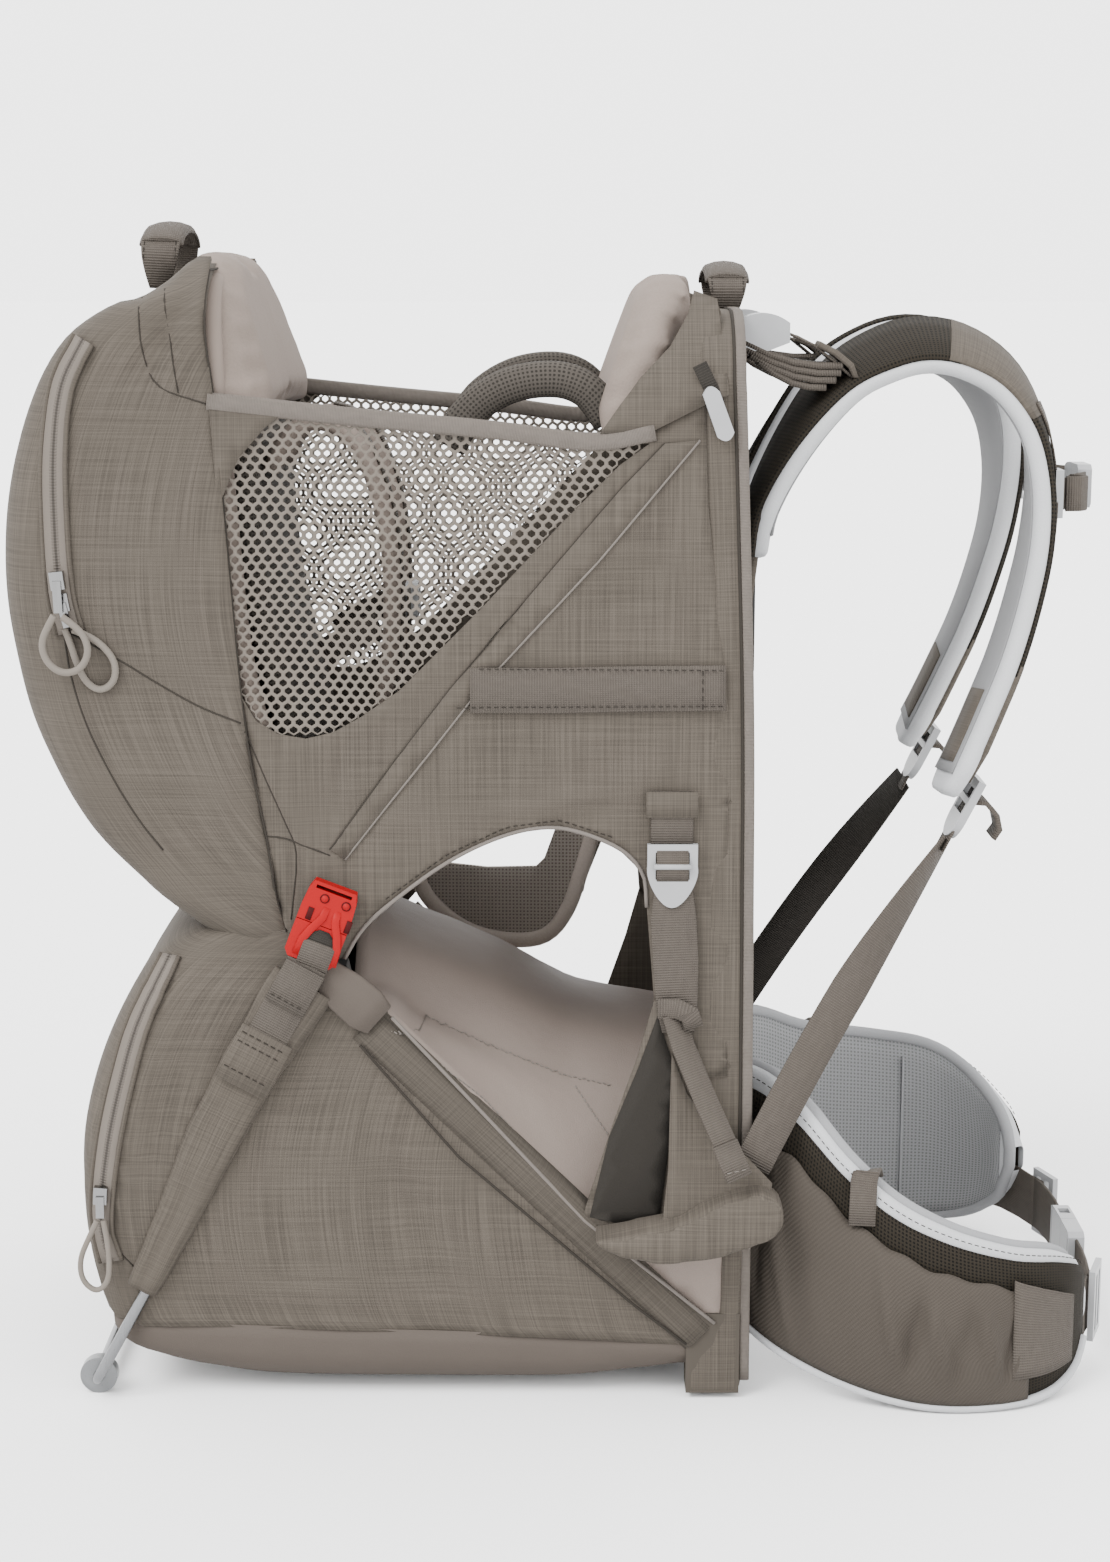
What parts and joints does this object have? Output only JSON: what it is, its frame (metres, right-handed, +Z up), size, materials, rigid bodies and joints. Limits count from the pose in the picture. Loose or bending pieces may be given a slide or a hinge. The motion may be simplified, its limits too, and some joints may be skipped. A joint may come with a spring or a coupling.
{
  "type": "baby carrier backpack",
  "caption": "Framed child carrier backpack with folding kickstand, mesh-sided cockpit, shoulder harness and hip belt.",
  "frame": {"origin": "on the floor under the middle of the carrier's bounding box", "axes": "+X from the rear pocket towards the wearer, +Y to the carrier's left, +Z up"},
  "size_m": [0.7064, 0.388, 0.743],
  "materials": {
    "frame_tube": "anodised satin",
    "moulded_dark": "fine matte moulding",
    "moulded_grey": "satin moulding",
    "steel_pin": "brushed",
    "red_buckle": "semi-gloss moulding",
    "slub_fabric": "heathered slub weave",
    "light_fabric": "brushed soft lining",
    "mesh_fabric": "open warp-knit mesh",
    "strap_foam": "light grey lining over foam",
    "belt_lining": "grey spacer mesh",
    "webbing": "ribbed webbing",
    "zip_tape": "woven tape with coil",
    "zip_metal": "polished",
    "pull_cord": "braided cord",
    "base_fabric": "coated plain weave",
    "board": "sheet"
  },
  "bodies": {
    "root": {"back_frame_hoop": "frame_tube", "base_crossbar": "frame_tube", "rear_hoop_tube": "frame_tube", "corner_brackets": "moulded_dark", "kickstand_hinges": "moulded_dark", "kickstand_pins": "steel_pin", "safety_buckle_sockets": "red_buckle", "side_panel_right": "slub_fabric", "side_panel_left": "slub_fabric", "mesh_windows": "mesh_fabric", "rear_pocket": "slub_fabric", "child_backrest": "light_fabric", "rear_head_pad": "light_fabric", "front_head_pad": "light_fabric", "seat_saddle": "light_fabric", "child_harness": "light_fabric", "chest_buckle_socket": "moulded_grey", "frame_sleeves": "slub_fabric", "arm_covers": "slub_fabric", "back_panel_board": "board", "back_panel_pad": "belt_lining", "lower_bag": "slub_fabric", "bag_base": "base_fabric", "upper_zip_tape": "zip_tape", "lower_zip_tape": "zip_tape", "foot_stirrups": "webbing", "stirrup_buckles": "moulded_grey", "sunshade_toggles": "moulded_grey", "harness_webbings": "webbing", "load_lifter_buckles": "moulded_grey", "hipbelt_wing_right": "belt_lining", "hipbelt_wing_left": "belt_lining", "hip_pockets": "slub_fabric", "hip_webbings": "webbing", "hip_triglides": "moulded_grey", "hip_buckle_socket": "moulded_grey"},
    "kickstand": {"kickstand_bar": "frame_tube", "kickstand_feet": "moulded_grey", "kickstand_sleeves": "slub_fabric", "safety_straps": "webbing"},
    "safety_clip_right": {"safety_clip_right": "red_buckle"},
    "safety_clip_left": {"safety_clip_left": "red_buckle"},
    "chest_clip": {"chest_buckle_clip": "moulded_grey"},
    "hip_clip": {"hip_buckle_clip": "moulded_grey"},
    "harness": {"harness_yoke": "board", "shoulder_strap_right": "strap_foam", "shoulder_strap_left": "strap_foam", "strap_adjusters": "moulded_grey"},
    "sternum": {"sternum_sliders": "moulded_grey", "sternum_webbing": "webbing", "sternum_buckle_socket": "moulded_grey"},
    "sternum_clip": {"sternum_buckle_clip": "moulded_grey"},
    "front_handle": {"front_handle": "webbing"},
    "rear_handle": {"rear_handle": "webbing"},
    "zip_slider_b": {"upper_slider_b": "zip_metal", "upper_pull_cord_b": "pull_cord"},
    "zip_slider_a": {"upper_slider_a": "zip_metal", "upper_pull_cord_a": "pull_cord"},
    "zip_slider_low": {"lower_slider": "zip_metal", "lower_pull_cord": "pull_cord"}
  },
  "joints": [
    {"name": "kickstand_fold", "type": "hinge", "parent": "root", "child": "kickstand", "pos_m": [-0.1752, 0, 0.25], "axis": [0, -1, 0], "range_deg": [0, 62], "deforming": ["lower_bag", "bag_base", "lower_zip_tape", "safety_straps"]},
    {"name": "safety_release_right", "type": "slide", "parent": "root", "child": "safety_clip_right", "axis": [-0.361, 0, -0.9326], "range_m": [0, 0.018], "deforming": ["safety_straps"]},
    {"name": "safety_release_left", "type": "slide", "parent": "root", "child": "safety_clip_left", "axis": [-0.361, 0, -0.9326], "range_m": [0, 0.018], "deforming": ["safety_straps"]},
    {"name": "chest_release", "type": "slide", "parent": "root", "child": "chest_clip", "axis": [0, -1, 0], "range_m": [0, 0.018]},
    {"name": "hip_release", "type": "slide", "parent": "root", "child": "hip_clip", "axis": [0, -1, 0], "range_m": [0, 0.026], "deforming": ["hip_webbings"]},
    {"name": "harness_height", "type": "slide", "parent": "root", "child": "harness", "axis": [0, 0, 1], "range_m": [-0.05, 0.03], "deforming": ["harness_webbings"]},
    {"name": "sternum_height", "type": "slide", "parent": "harness", "child": "sternum", "axis": [0, 0, 1], "range_m": [-0.025, 0.025]},
    {"name": "sternum_release", "type": "slide", "parent": "sternum", "child": "sternum_clip", "axis": [0, -1, 0], "range_m": [0, 0.02], "deforming": ["sternum_webbing"]},
    {"name": "front_handle_swing", "type": "hinge", "parent": "root", "child": "front_handle", "pos_m": [0.0978, 0, 0.691], "axis": [0, 1, 0], "range_deg": [-6, 20]},
    {"name": "rear_handle_swing", "type": "hinge", "parent": "root", "child": "rear_handle", "pos_m": [-0.2612, 0, 0.71], "axis": [0, 1, 0], "range_deg": [-20, 20]},
    {"name": "upper_zip_b", "type": "hinge", "parent": "root", "child": "zip_slider_b", "pos_m": [-0.0302, -0.144, 0.5625], "axis": [0, 1, 0], "range_deg": [0, 12]},
    {"name": "upper_zip_a", "type": "hinge", "parent": "zip_slider_b", "child": "zip_slider_a", "pos_m": [-0.0302, -0.147, 0.5625], "axis": [0, 1, 0], "range_deg": [0, 13]},
    {"name": "lower_zip", "type": "hinge", "parent": "root", "child": "zip_slider_low", "pos_m": [0.0208, -0.15, 0.1167], "axis": [0, 1, 0], "range_deg": [0, 29]}
  ]
}
